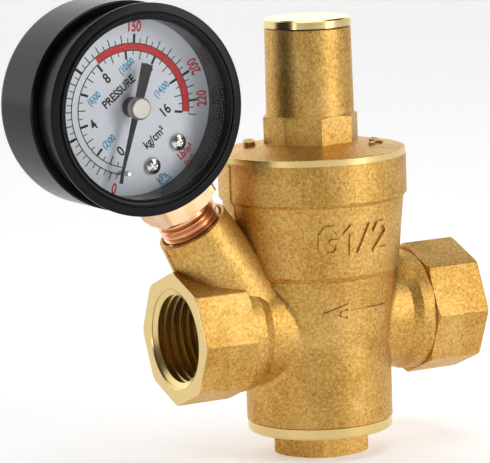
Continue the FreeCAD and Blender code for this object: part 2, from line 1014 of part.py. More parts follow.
def dial_plate():
    """Shallow pressed pan: a flat face curving up into a rim that carries the lens."""
    pan = turned(
        [
            (0, dial_y),
            (dial_r - 0.1, dial_y, 0.5),
            (dial_r, dial_rim),
            (lens_r, dial_rim),
            (lens_r, dial_y + dial_t),
            (0, dial_y + dial_t),
        ]
    )
    plate = along_y(pan)
    holes = [along_y(rod(1.6, dial_y - 1, dial_y + 1))]
    plate = on_gauge(plate.cut(holes))
    holes = []
    for angle in dial_screw_angles:
        hole = along_y(rod(0.95, dial_y - 1, dial_y + 1))
        hole.translate(dial_point(dial_screw_r, angle))
        holes.append(hole)
    hole = along_y(rod(0.5, dial_y - 1, dial_y + 1))
    hole.translate(dial_point(stop_pin_r, stop_pin_angle))
    holes.append(hole)
    return plate.cut(holes)


dial_screw_head_r = 1.85


def dial_screws():
    screws = []
    for angle in dial_screw_angles:
        head = turned(
            [
                (0, -1.15),
                (0.7, -1.15),
                (dial_screw_head_r - 0.25, -0.75, 0.3),
                (dial_screw_head_r, -0.3),
                (dial_screw_head_r, 0),
                (0.9, 0),
                (0.9, 2.9),
                (0, 2.9),
            ]
        )
        screw = along_y(head, dial_y)
        cross = box(-1.1, 1.1, dial_y - 2, dial_y - 0.55, -0.2, 0.2)
        cross = cross.fuse(box(-0.2, 0.2, dial_y - 2, dial_y - 0.55, -1.1, 1.1))
        cross.rotate(V(0, 0, 0), V(0, 1, 0), 20 + angle)
        screw = screw.cut(cross)
        screw.translate(dial_point(dial_screw_r, angle))
        screws.append(screw)
    return Part.makeCompound(screws)


def zero_stop_pin():
    pin = turned([(0, -3.7), (0.4, -3.7), (0.5, -3.5), (0.5, dial_t), (0, dial_t)])
    pin = along_y(pin, dial_y)
    pin.translate(dial_point(stop_pin_r, stop_pin_angle))
    return pin


# Pointer and movement


def pointer():
    """Flat black hand, its balance tail widening to a square end."""
    hand = Part.makePolygon(
        [
            V(pointer_reach, 0, 0.25),
            V(0, 0, 0.85),
            V(-pointer_tail, 0, 1.3),
            V(-pointer_tail, 0, -1.3),
            V(0, 0, -0.85),
            V(pointer_reach, 0, -0.25),
            V(pointer_reach, 0, 0.25),
        ]
    )
    flat = Part.Face(hand).extrude(V(0, pointer_t, 0))
    boss = along_y(rod(2.0, 0, pointer_t))
    bush = along_y(rod(1.55, pointer_t, 1.6))
    whole = flat.fuse([boss, bush]).cut(along_y(rod(arbor_r, -1, 3)))
    whole.translate(V(0, pointer_y, 0))
    whole.rotate(V(0, 0, 0), V(0, 1, 0), -pointer_rest)
    whole.translate(gauge_centre)
    return whole


def pointer_cap():
    cap = turned(
        [
            (0, -1.75),
            (2.0, -1.75, 0.3),
            (2.35, -1.2, 0.2),
            (2.35, 0),
            (arbor_r, 0),
            (arbor_r, -1.3),
            (0, -1.3),
        ]
    )
    return on_gauge(along_y(cap, pointer_y))


def tooth_gaps(radius, count, depth, z0, z1, first, step):
    """Slots that leave teeth round a rim."""
    cuts = []
    width = math.radians(step) * radius * 0.5
    for i in range(count):
        slot = box(radius - depth, radius + 1, -width / 2, width / 2, z0 - 0.1, z1 + 0.1)
        slot.rotate(V(0, 0, 0), UP, first + i * step)
        cuts.append(slot)
    return cuts


def pointer_arbor():
    """Arbor through the dial with the pinion that the sector drives."""
    top = back_plate_y + plate_t - 0.1
    shaft = rod(arbor_r, pointer_y - 1.25, top)
    wheel = rod(pinion_r - 0.03, -1.4, 0.2)
    wheel = wheel.cut(tooth_gaps(pinion_r - 0.03, 10, 0.25, -1.4, 0.2, 0, 36))
    return on_gauge(along_y(shaft.fuse(wheel)))


sector_pivot = V(0, 0, -(sector_r + pinion_r))
sector_front = -0.9
sector_back = -0.3
link_pin_r = 0.4
half_swing = math.radians(sector_swing / 2)
pin_travel = 2 * tail_arm * math.tan(half_swing)
pin_rest_z = sector_pivot.z - tail_arm * math.tan(half_swing)
ear_z = -0.5


def sector_gear():
    """Toothed sector on its own arbor, with a slotted side arm that the link pulls up."""
    low = sector_front
    high = sector_back
    span = sector_swing + 14
    tip_r = sector_r - 0.03
    wedge = Part.makeCylinder(tip_r, high - low, V(0, 0, low), UP, span)
    wedge.rotate(V(0, 0, 0), UP, -90 - span / 2)
    rim = wedge.cut(rod(sector_r - 2.0, low - 1, high + 1))
    arm = box(-0.8, 0.8, 1 - sector_r, 0, low, high)
    reach = tail_arm / math.cos(half_swing)
    tail = box(0, reach + 1.3, -1.3, 1.3, low, high)
    plate = rim.fuse([arm, tail, rod(1.6, low, high)])
    step = 36.0 / sector_ratio
    teeth = int(span / step) - 1
    first = -90 - (teeth - 1) * step / 2
    plate = plate.cut(tooth_gaps(tip_r, teeth, 0.25, low, high, first, step))
    half_slot = link_pin_r + gap
    slot = box(tail_arm - 0.6, reach + 0.6, -half_slot, half_slot, low - 1, high + 1)
    shaft = rod(arbor_r, front_plate_y + 0.1, back_plate_y + plate_t - 0.1)
    whole = along_y(plate.cut(slot).fuse(shaft))
    whole.rotate(V(0, 0, 0), V(0, 1, 0), sector_swing / 2)
    whole.translate(sector_pivot)
    return on_gauge(whole)


def tip_link():
    bar = box(tail_arm - 0.7, tail_arm + 0.7, -1.7, -1.2, pin_rest_z - 0.7, ear_z + 0.7)
    for z in (pin_rest_z, ear_z):
        bar = bar.cut(Part.makeCylinder(link_pin_r, 4, V(tail_arm, -3, z), V(0, 1, 0)))
    return on_gauge(bar)


def link_pins():
    pins = []
    for z in (pin_rest_z, ear_z):
        shank = Part.makeCylinder(link_pin_r, 1.9, V(tail_arm, -2.1, z), V(0, 1, 0))
        head = Part.makeCylinder(0.7, 0.4, V(tail_arm, -2.1, z), V(0, 1, 0))
        pins.append(shank.fuse(head))
    return on_gauge(Part.makeCompound(pins))


def movement_plate(y):
    """Thin brass plate with a bearing hole for each arbor."""
    plate = box(-5.0, 5.0, y, y + plate_t, -11.2, 3.0)
    holes = [Part.makeCylinder(arbor_r + gap, 3, V(0, y - 1, 0), V(0, 1, 0))]
    holes.append(Part.makeCylinder(arbor_r + gap, 3, V(0, y - 1, sector_pivot.z), V(0, 1, 0)))
    return plate, holes


def movement_front_plate():
    plate, holes = movement_plate(front_plate_y)
    for x, z in pillar_spots:
        holes.append(Part.makeCylinder(0.6, 3, V(x, front_plate_y - 1, z), V(0, 1, 0)))
    return on_gauge(plate.cut(holes))


def movement_back_plate():
    plate, holes = movement_plate(back_plate_y)
    for x, z in movement_screw_spots:
        holes.append(Part.makeCylinder(0.65, 3, V(x, back_plate_y - 1, z), V(0, 1, 0)))
    return on_gauge(plate.cut(holes))


pillar_spots = ((-3.9, 2.0), (3.2, 2.0), (-3.9, -9.6))


def movement_pillars():
    pillars = []
    low = front_plate_y + plate_t
    for x, z in pillar_spots:
        pillars.append(Part.makeCylinder(0.9, back_plate_y - low, V(x, low, z), V(0, 1, 0)))
    return on_gauge(Part.makeCompound(pillars))


def cheese_screw(x, y, z, shank, head_r, head_t, length):
    """Screw driven along +Y, its slotted head lying in front of y."""
    head = Part.makeCylinder(head_r, head_t, V(x, y - head_t, z), V(0, 1, 0))
    body = Part.makeCylinder(shank, length, V(x, y, z), V(0, 1, 0))
    slot = box(x - head_r, x + head_r, y - head_t - 0.1, y - head_t + 0.25, z - 0.12, z + 0.12)
    return head.fuse(body).cut(slot)


def movement_screws():
    screws = []
    for x, z in pillar_spots:
        screws.append(cheese_screw(x, front_plate_y, z, 0.6, 1.0, 0.4, plate_t))
    for x, z in movement_screw_spots:
        screws.append(cheese_screw(x, back_plate_y, z, 0.6, 1.0, 0.6, 3.2))
    return on_gauge(Part.makeCompound(screws))


def case_screws():
    screws = []
    for z in case_screw_heights:
        screw = turned(
            [
                (0, 1.0),
                (1.2, 1.0),
                (2.0, 0.4, 0.2),
                (2.0, 0),
                (1.0, 0),
                (1.0, -5.0),
                (0, -5.0),
            ]
        )
        screw = screw.cut(box(-2, 2, -0.25, 0.25, 0.6, 2))
        screw = along_y(screw, gauge_back)
        screw.translate(V(0, 0, z))
        screws.append(screw)
    return on_gauge(Part.makeCompound(screws))


def hairspring():
    """Flat spiral that takes the slack out of the teeth; its collet clears the arbor."""
    turns = 4
    inner = 0.9
    outer = 2.3
    steps = 24
    low = -3.3
    inside = []
    outside = []
    half = 0.05
    for i in range(turns * steps + 1):
        angle = 2 * math.pi * i / steps
        radius = inner + (outer - inner) * i / (turns * steps)
        aim = V(math.cos(angle), 0, math.sin(angle))
        inside.append(aim * (radius - half))
        outside.append(aim * (radius + half))
    ribbon = Part.makePolygon(inside + outside[::-1] + [inside[0]])
    coil = Part.Face(ribbon).extrude(V(0, 0.5, 0))
    coil.translate(V(0, low, 0))
    collet = along_y(tube(arbor_r + gap, inner + 0.05, low, low + 0.5))
    anchor = box(-4.0, -outer + 0.3, low, low + 0.5, -0.2, 0.2)
    return on_gauge(coil.fuse([collet, anchor]))


tube_start = -110.0  # degrees anticlockwise from the gauge's own right
tube_end = 6.0
tube_half_w = 2.6
tube_half_t = 0.9
tube_skin = 0.25


def tube_solid(skin):
    """The C of the Bourdon tube as a solid, drawn inside its wall by skin."""
    a = tube_half_t - skin
    b = tube_half_w - skin
    corners = [(tube_r - a, -b, a * 0.9), (tube_r + a, -b, a * 0.9)]
    corners += [(tube_r + a, b, a * 0.9), (tube_r - a, b, a * 0.9)]
    sweep = tube_start + 360.0 - tube_end
    ring = Part.Face(outline(corners)).revolve(V(0, 0, 0), UP, sweep)
    if ring.Volume < 0:
        ring.reverse()
    bent = along_y(ring)
    bent.rotate(V(0, 0, 0), V(0, 1, 0), -tube_end - sweep)
    return bent


def bourdon_tube():
    """Flattened tube bent in a C from the block round to its free tip."""
    return on_gauge(tube_solid(0).cut(tube_solid(tube_skin)))


def bourdon_tip():
    """Plug that closes the tube's free end, with an ear for the link."""
    plug = box(tube_r - 1.1, tube_r + 1.1, -2.4, 2.4, -2.0, 0)
    plug.rotate(V(0, 0, 0), V(0, 1, 0), -tube_end)
    ear = box(tail_arm - 0.8, tube_r, sector_front, sector_back, ear_z - 0.7, ear_z + 0.7)
    hole = Part.makeCylinder(link_pin_r, 4, V(tail_arm, -3, ear_z), V(0, 1, 0))
    return on_gauge(plug.fuse(ear).cut(hole))


def main():
    nodes = {
        "valve_body": valve_body,
        "seat_ring": seat_ring,
        "bottom_plug": bottom_plug,
        "bottom_plug_seal": bottom_plug_seal,
        "bonnet": bonnet,
        "slip_ring": slip_ring,
        "diaphragm": diaphragm,
        "upper_diaphragm_plate": upper_diaphragm_plate,
        "lower_diaphragm_plate": lower_diaphragm_plate,
        "valve_stem": valve_stem,
        "stem_nut": stem_nut,
        "disc_holder": disc_holder,
        "seat_disc": seat_disc,
        "disc_washer": disc_washer,
        "return_spring": return_spring,
        "main_spring": main_spring,
        "spring_button": spring_button,
        "adjusting_screw": adjusting_screw,
        "top_cap_seal": top_cap_seal,
        "top_cap": top_cap,
        "gauge_stem": gauge_stem,
        "gauge_case": gauge_case,
        "gauge_bezel": gauge_bezel,
        "gauge_lens": gauge_lens,
        "lens_gasket": lens_gasket,
        "dial_plate": dial_plate,
        "dial_screws": dial_screws,
        "zero_stop_pin": zero_stop_pin,
        "pointer": pointer,
        "pointer_cap": pointer_cap,
        "pointer_arbor": pointer_arbor,
        "sector_gear": sector_gear,
        "movement_back_plate": movement_back_plate,
        "movement_front_plate": movement_front_plate,
        "movement_pillars": movement_pillars,
        "movement_screws": movement_screws,
        "case_screws": case_screws,
        "hairspring": hairspring,
        "bourdon_tube": bourdon_tube,
        "bourdon_tip": bourdon_tip,
        "tip_link": tip_link,
        "link_pins": link_pins,
    }
    for name, build in nodes.items():
        save(name, build())
        print(name)


main()
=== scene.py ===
# %% [markdown]
# # A brass pressure reducing valve with a dial gauge
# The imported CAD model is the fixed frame: every piece made here sits where the CAD says, in metres.
# Cast and turned brass keep their CAD meshes and get worked finishes. The springs, the bezel and
# the hand are built again in finer detail, and the dial gets its printed scale.

import json
import math

import bmesh
import bpy
from mathutils import Matrix, Vector

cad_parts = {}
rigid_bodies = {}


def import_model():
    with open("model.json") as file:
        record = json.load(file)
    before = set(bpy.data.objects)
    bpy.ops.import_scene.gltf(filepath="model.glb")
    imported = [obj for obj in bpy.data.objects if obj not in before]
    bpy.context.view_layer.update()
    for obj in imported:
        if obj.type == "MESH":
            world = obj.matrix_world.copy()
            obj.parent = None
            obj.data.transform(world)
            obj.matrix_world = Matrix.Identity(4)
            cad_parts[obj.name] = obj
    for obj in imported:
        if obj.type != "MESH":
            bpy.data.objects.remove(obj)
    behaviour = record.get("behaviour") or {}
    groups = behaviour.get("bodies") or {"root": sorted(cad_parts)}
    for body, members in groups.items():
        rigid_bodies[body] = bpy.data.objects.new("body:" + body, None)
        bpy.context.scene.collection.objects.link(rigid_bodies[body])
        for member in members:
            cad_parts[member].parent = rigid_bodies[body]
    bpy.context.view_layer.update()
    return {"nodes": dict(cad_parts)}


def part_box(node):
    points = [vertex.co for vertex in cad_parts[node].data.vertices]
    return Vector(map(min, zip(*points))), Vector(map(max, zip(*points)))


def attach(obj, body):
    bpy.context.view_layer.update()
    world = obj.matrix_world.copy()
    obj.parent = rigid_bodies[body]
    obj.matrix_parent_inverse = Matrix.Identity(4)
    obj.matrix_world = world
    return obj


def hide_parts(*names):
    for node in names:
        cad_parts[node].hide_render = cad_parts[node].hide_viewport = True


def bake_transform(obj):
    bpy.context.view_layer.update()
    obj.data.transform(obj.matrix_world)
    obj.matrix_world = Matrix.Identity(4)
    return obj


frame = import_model()
nodes = frame["nodes"]
scene = bpy.context.scene
MM = 0.001
print("CAD nodes:", len(nodes))

# %% [markdown]
# ## Sizes that everything shares
# The port axis runs along X, 28 mm above the plug's flat base. The gauge leans with its stem, and
# its face looks towards -Y, so a point of the dial is a radius and an angle about its centre.

# %% Sizes
AXIS_Z = 28.0
GAUGE = Vector((-45.886, 0.0, 78.611))
LEAN = math.radians(31.3)
FACE_Y = -6.2
PORT_FACE = 34.64

# %% [markdown]
# ## Shader maths as Python
# A finish is a small graph of nodes. Wrapping a socket in a class with operators lets the graph be
# written as an ordinary sum: `mask * 2 - 1` adds two Math nodes and links them.


# %% Shader helpers
class Wire:
    """One value on its way through a material."""

    def __init__(self, finish, socket):
        self.finish = finish
        self.socket = socket

    def maths(self, operation, a, b=0.0):
        return self.finish.node("ShaderNodeMath", {"operation": operation}, {0: a, 1: b})

    def __add__(self, other):
        return self.maths("ADD", self, other)

    def __radd__(self, other):
        return self.maths("ADD", other, self)

    def __sub__(self, other):
        return self.maths("SUBTRACT", self, other)

    def __rsub__(self, other):
        return self.maths("SUBTRACT", other, self)

    def __mul__(self, other):
        return self.maths("MULTIPLY", self, other)

    def __rmul__(self, other):
        return self.maths("MULTIPLY", other, self)

    def __pow__(self, other):
        return self.maths("POWER", self, other)

    def above(self, edge, soft):
        """0 below an edge, 1 above it, with a soft step between."""
        stops = {"interpolation_type": "SMOOTHSTEP"}
        return self.finish.node("ShaderNodeMapRange", stops, {0: self, 1: edge - soft, 2: edge + soft})


class Finish:
    """A material with one Principled shader and a method that adds any other node."""

    def __init__(self, name):
        self.material = bpy.data.materials.new(name)
        self.material.use_nodes = True
        self.tree = self.material.node_tree
        self.shader = self.tree.nodes["Principled BSDF"]

    def node(self, kind, settings=None, values=None, out=0):
        made = self.tree.nodes.new(kind)
        for key, value in (settings or {}).items():
            if key == "stops":
                ramp = made.color_ramp
                while len(ramp.elements) < len(value):
                    ramp.elements.new(0.5)
                for element, (place, colour) in zip(ramp.elements, value):
                    element.position = place
                    element.color = (*colour, 1.0)
            else:
                setattr(made, key, value)
        for key, value in (values or {}).items():
            self.feed(made.inputs[key], value)
        return Wire(self, made.outputs[out])

    def feed(self, socket, value):
        if isinstance(value, Wire):
            self.tree.links.new(value.socket, socket)
        elif isinstance(value, tuple) and socket.type == "RGBA":
            socket.default_value = (*value, 1.0)
        else:
            socket.default_value = value

    def set(self, **values):
        for key, value in values.items():
            self.feed(self.shader.inputs[key.replace("_", " ")], value)

    def place(self):
        return self.node("ShaderNodeTexCoord", out=3)

    def noise(self, scale, detail=2.0, rough=0.5, vector=None):
        vector = self.place() if vector is None else vector
        values = {"Vector": vector, "Scale": scale, "Detail": detail, "Roughness": rough}
        return self.node("ShaderNodeTexNoise", None, values)

    def mix(self, factor, a, b):
        """Colour a where factor is 0, b where it is 1."""
        values = {0: factor, 6: a, 7: b}
        return self.node("ShaderNodeMix", {"data_type": "RGBA"}, values, out=2)

    def ramp(self, factor, stops):
        return self.node("ShaderNodeValToRGB", {"stops": stops}, {0: factor})

    def bump(self, height, strength, distance, normal=None):
        values = {"Height": height, "Strength": strength, "Distance": distance}
        if normal is not None:
            values["Normal"] = normal
        return self.node("ShaderNodeBump", None, values)

    def axes(self):
        """Object coordinates in metres as three numbers."""
        split = self.tree.nodes.new("ShaderNodeSeparateXYZ")
        self.tree.links.new(self.place().socket, split.inputs[0])
        return [Wire(self, s) for s in split.outputs]


print("shader helpers ready")

# %% [markdown]
# ## Sand-cast brass
# The body comes out of a sand mould and is blasted clean, so its skin is a field of tiny pits with
# bright peaks. Three noises do it: a slow one for the stain of the casting, a middle one for the
# sand, and a fine one whose highest points glint. Where a cutter has been (port faces, threads)
# the grain gives way to bright turned metal, chosen by distance from the port axis.


# %% Cast brass
CAST_DARK = (0.22, 0.09, 0.013)
CAST_MID = (0.60, 0.335, 0.075)
CAST_LIGHT = (0.92, 0.65, 0.25)
TURNED = (0.80, 0.60, 0.26)


def cast_colour(finish):
    stain = finish.noise(70.0, 4.0, 0.6)
    sand = finish.noise(1500.0, 3.0, 0.6)
    speck = finish.noise(3600.0, 1.0, 0.5)
    tone = stain * 0.35 + sand * 0.45 + speck * 0.35
    colour = finish.ramp(tone, [(0.34, CAST_DARK), (0.55, CAST_MID), (0.78, CAST_LIGHT)])
    return colour, sand, speck


def cast_height(finish, sand, speck):
    lumps = finish.noise(420.0, 2.0, 0.5)
    return lumps * 0.5 + sand * 0.35 + speck * 0.25


def cast_brass(name, cut_mask=None):
    finish = Finish(name)
    colour, sand, speck = cast_colour(finish)
    height = cast_height(finish, sand, speck)
    rough = 0.36 + speck * 0.22
    if cut_mask is not None:
        mask = cut_mask(finish)
        lathe = finish.noise(2600.0, 2.0, 0.6)
        cut = finish.ramp(lathe, [(0.3, (0.74, 0.55, 0.23)), (0.7, TURNED)])
        colour = finish.mix(mask, colour, cut)
        rough = rough * (1 - mask) + mask * 0.26
        height = height * (1 - mask) + lathe * mask * 0.06
    finish.set(Base_Color=colour, Metallic=1.0, Roughness=rough)
    finish.set(Normal=finish.bump(height, 0.55, 0.00022))
    return finish.material


FACE_R = 15.0
THREAD_R = 11.3


def port_cut(finish):
    """1 on the port faces and in the port threads, 0 on the cast skin."""
    x, y, z = finish.axes()
    lift = z - AXIS_Z * MM
    radius = (y * y + lift * lift) ** 0.5
    out = x.maths("ABSOLUTE", x)
    face = out.above((PORT_FACE - 0.12) * MM, 0.00008) * (1 - radius.above(FACE_R * MM, 0.0001))
    inside = (1 - radius.above(THREAD_R * MM, 0.0002)) * out.above(10.0 * MM, 0.0005)
    return face.maths("MAXIMUM", face, inside)


body_brass = cast_brass("cast_brass_body", port_cut)
print("made", body_brass.name)

# %% [markdown]
# ## Turned brass
# The bonnet's flange, the cap and the plug's collar are cut on a lathe, which leaves fine rings
# round the axis and a clean bright colour. The rings come from a noise read on (radius, height)
# alone, so it can't change on the way round.


# %% Turned brass
def ring_grain(finish, fine=9000.0, axis="Z", centre=(0.0, 0.0, 0.0)):
    x, y, z = finish.axes()
    a, b, along = {"Z": (x, y, z), "X": (y, z, x), "Y": (x, z, y)}[axis]
    ca, cb = {"Z": (0, 1), "X": (1, 2), "Y": (0, 2)}[axis]
    a = a - centre[ca]
    b = b - centre[cb]
    radius = (a * a + b * b) ** 0.5
    line = finish.node("ShaderNodeCombineXYZ", None, {0: radius, 1: along})
    return finish.noise(fine, 3.0, 0.65, line)


def turned_metal(name, dark, light, rough=0.2, axis="Z", centre=(0.0, 0.0, 0.0), depth=0.00003):
    finish = Finish(name)
    rings = ring_grain(finish, 9000.0, axis, centre)
    smear = finish.noise(160.0, 4.0, 0.6)
    tone = rings * 0.5 + smear * 0.5
    finish.set(Base_Color=finish.ramp(tone, [(0.35, dark), (0.65, light)]))
    finish.set(Metallic=1.0, Roughness=rough + smear * 0.16)
    finish.set(Normal=finish.bump(rings, 0.5, depth))
    return finish.material


turned_brass = turned_metal("turned_brass", (0.74, 0.53, 0.20), (0.93, 0.76, 0.42), 0.14)
inner_brass = turned_metal("inner_brass", (0.70, 0.50, 0.20), (0.86, 0.68, 0.34), 0.2)
copper = turned_metal("coppery_stem", (0.62, 0.30, 0.13), (0.92, 0.62, 0.40), 0.16)
bronze = turned_metal("spring_bronze", (0.52, 0.32, 0.15), (0.76, 0.52, 0.28), 0.22)
steel = turned_metal("plated_steel", (0.44, 0.44, 0.45), (0.68, 0.68, 0.70), 0.22)
nickel = turned_metal("nickel_plate", (0.55, 0.52, 0.48), (0.86, 0.83, 0.79), 0.12)
cap_metal = turned_metal("hub_cap", (0.40, 0.37, 0.33), (0.58, 0.54, 0.49), 0.34)
print("turned finishes made")

# %% [markdown]
# ## The bonnet: cast, with a turned flange
# One casting carries both skins. Everything below the flange's top edge was turned, and so was the
# rim of the neck; between them the sand grain stays.


# %% Bonnet finish
def bonnet_cut(finish):
    x, y, z = finish.axes()
    flange = 1 - z.above((AXIS_Z + 37.05) * MM, 0.00006)
    rim = z.above((AXIS_Z + 63.0) * MM, 0.00005)
    return flange.maths("MAXIMUM", flange, rim)


def plug_cut(finish):
    """The plug's round collar is turned; its hexagon stays as cast."""
    x, y, z = finish.axes()
    radius = (x * x + y * y) ** 0.5
    return z.above((AXIS_Z - 23.15) * MM, 0.00005) * radius.above(11.8 * MM, 0.0002)


bonnet_brass = cast_brass("cast_brass_bonnet", bonnet_cut)
plug_brass = cast_brass("cast_brass_plug", plug_cut)
print("made", bonnet_brass.name, plug_brass.name)

# %% [markdown]
# ## Black, rubber, enamel and glass
# The gauge housing is a glossy black moulding with the faintest orange peel. The dial is a pale
# enamel, the hand a matte lacquer. The window has to stay clear, so it is a mix of a transparent
# and a mirror shader, weighed by Fresnel as real glass is.


# %% Plain finishes
def coloured(name, dark, light, rough, grain=1800.0, depth=0.00002, spread=0.12, shine=0.5):
    finish = Finish(name)
    cloud = finish.noise(90.0, 4.0, 0.6)
    fine = finish.noise(grain, 3.0, 0.6)
    finish.set(Base_Color=finish.ramp(cloud * 0.6 + fine * 0.4, [(0.35, dark), (0.65, light)]))
    finish.set(Roughness=rough + fine * spread, Specular_IOR_Level=shine)
    finish.set(Normal=finish.bump(fine, 0.4, depth))
    return finish.material


black_gloss = coloured("black_gloss", (0.006, 0.006, 0.006), (0.010, 0.010, 0.010), 0.18, 900.0, shine=0.13)
rubber = coloured("black_rubber", (0.012, 0.012, 0.012), (0.03, 0.03, 0.03), 0.55)
pale_rubber = coloured("pale_rubber", (0.58, 0.61, 0.66), (0.68, 0.71, 0.76), 0.5)
hand_black = coloured("hand_lacquer", (0.010, 0.010, 0.011), (0.014, 0.014, 0.015), 0.42, shine=0.2)
enamel = coloured("dial_enamel", (0.76, 0.80, 0.87), (0.84, 0.87, 0.93), 0.42, 2400.0)
ink_black = coloured("ink_black", (0.008, 0.008, 0.009), (0.014, 0.014, 0.016), 0.45, shine=0.2)
ink_red = coloured("ink_red", (0.62, 0.012, 0.012), (0.74, 0.02, 0.018), 0.5, shine=0.15)
ink_blue = coloured("ink_blue", (0.03, 0.30, 0.55), (0.05, 0.38, 0.64), 0.5, shine=0.15)


def window_glass():
    finish = Finish("clear_window")
    tree = finish.tree
    finish.tree.nodes.remove(finish.shader)
    clear = tree.nodes.new("ShaderNodeBsdfTransparent")
    mirror = tree.nodes.new("ShaderNodeBsdfGlossy")
    mirror.inputs["Roughness"].default_value = 0.03
    fresnel = finish.node("ShaderNodeFresnel", None, {"IOR": 1.45}) * 0.3
    mix = tree.nodes.new("ShaderNodeMixShader")
    tree.links.new(fresnel.socket, mix.inputs[0])
    tree.links.new(clear.outputs[0], mix.inputs[1])
    tree.links.new(mirror.outputs[0], mix.inputs[2])
    tree.links.new(mix.outputs[0], tree.nodes["Material Output"].inputs[0])
    return finish.material


glass = window_glass()
print("plain finishes made")

# %% [markdown]
# ## Mesh helpers
# Most of this valve is turned, so one helper spins a profile about an axis. Another gives a piece
# its finish and smooth shading, keeping edges sharp where two faces meet at more than 35 degrees.


# %% Mesh helpers
def keep(name, verts, faces, material, body, place=None):
    """A finished mesh object at the origin, riding on a body."""
    mesh = bpy.data.meshes.new(name)
    mesh.from_pydata([tuple(v) for v in verts], [], faces)
    return keep_mesh(name, mesh, material, body, place)


def keep_mesh(name, mesh, material, body, place=None):
    if place is not None:
        mesh.transform(place)
    work = bmesh.new()
    work.from_mesh(mesh)
    bmesh.ops.remove_doubles(work, verts=work.verts, dist=1e-7)
    bmesh.ops.recalc_face_normals(work, faces=work.faces)
    work.to_mesh(mesh)
    work.free()
    mesh.materials.clear()
    mesh.materials.append(material)
    mesh.shade_smooth()
    mesh.set_sharp_from_angle(angle=math.radians(35))
    piece = bpy.data.objects.new(name, mesh)
    scene.collection.objects.link(piece)
    if body:
        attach(piece, body)
    return piece


def rounded(points, steps=6):
    """(radius, height, round) corners of a profile, in mm, each corner turned into an arc."""
    line = []
    count = len(points)
    for i, point in enumerate(points):
        here = Vector(point[:2])
        size = point[2] if len(point) > 2 else 0.0
        if size <= 0 or i in (0, count - 1):
            line.append(here)
            continue
        back = (Vector(points[i - 1][:2]) - here).normalized()
        on = (Vector(points[i + 1][:2]) - here).normalized()
        half = back.angle(on) / 2
        run = size / math.tan(half)
        centre = here + (back + on).normalized() * size / math.sin(half)
        start = here + back * run - centre
        end = here + on * run - centre
        sweep = start.angle_signed(end)
        for k in range(steps + 1):
            turn = Matrix.Rotation(-sweep * k / steps, 2)
            line.append(centre + turn @ start)
    return line


def lathe(profile, sides=128):
    """Vertices and faces of a profile spun about Z, in metres; ends on the axis close it."""
    verts = []
    faces = []
    count = len(profile)
    for i in range(sides):
        angle = 2 * math.pi * i / sides
        for radius, height in profile:
            verts.append(Vector((radius * math.cos(angle), radius * math.sin(angle), height)) * MM)
    for i in range(sides):
        j = (i + 1) % sides
        for k in range(count - 1):
            faces.append((i * count + k, j * count + k, j * count + k + 1, i * count + k + 1))
    return verts, faces


# the gauge's own axis: drawn up Z, then laid along +Y at the gauge's centre
TO_GAUGE = (
    Matrix.Translation(GAUGE * MM)
    @ Matrix.Rotation(-LEAN, 4, "Y")
    @ Matrix.Rotation(math.radians(-90), 4, "X")
)
print("gauge leans", round(math.degrees(LEAN), 1), "degrees")

# %% [markdown]
# ## CAD nodes that keep their meshes
# Their shape is right, so only their finish changes and every vertex stays where the CAD put it.
# A node that isn't listed is an inner brass part.

# %% Finishes on CAD nodes
FINISHES = {
    "valve_body": body_brass,
    "bonnet": bonnet_brass,
    "bottom_plug": plug_brass,
    "top_cap": turned_brass,
    "top_cap_seal": rubber,
    "bottom_plug_seal": rubber,
    "diaphragm": rubber,
    "seat_disc": rubber,
    "lens_gasket": pale_rubber,
    "upper_diaphragm_plate": steel,
    "stem_nut": steel,
    "spring_button": steel,
    "link_pins": steel,
    "main_spring": steel,
    "return_spring": steel,
    "movement_screws": nickel,
    "case_screws": nickel,
    "zero_stop_pin": nickel,
    "pointer_cap": cap_metal,
    "dial_screws": nickel,
    "dial_plate": enamel,
    "pointer": hand_black,
    "gauge_stem": copper,
    "gauge_case": black_gloss,
    "gauge_bezel": black_gloss,
    "gauge_lens": glass,
    "bourdon_tube": bronze,
    "hairspring": bronze,
}
for name, node in nodes.items():
    finish = FINISHES.get(name, inner_brass)
    node.data.materials.clear()
    node.data.materials.append(finish)
print("finished", len(nodes), "CAD nodes")

# %% [markdown]
# ## Geometry Nodes as recipes
# Springs, ticks and rings follow rules, so each is a small node tree with named inputs: change a
# number and the part is made again. The helper adds nodes the same way as the finishes do. When
# the tree has run, its result is taken as a plain mesh and the modifier is thrown away.


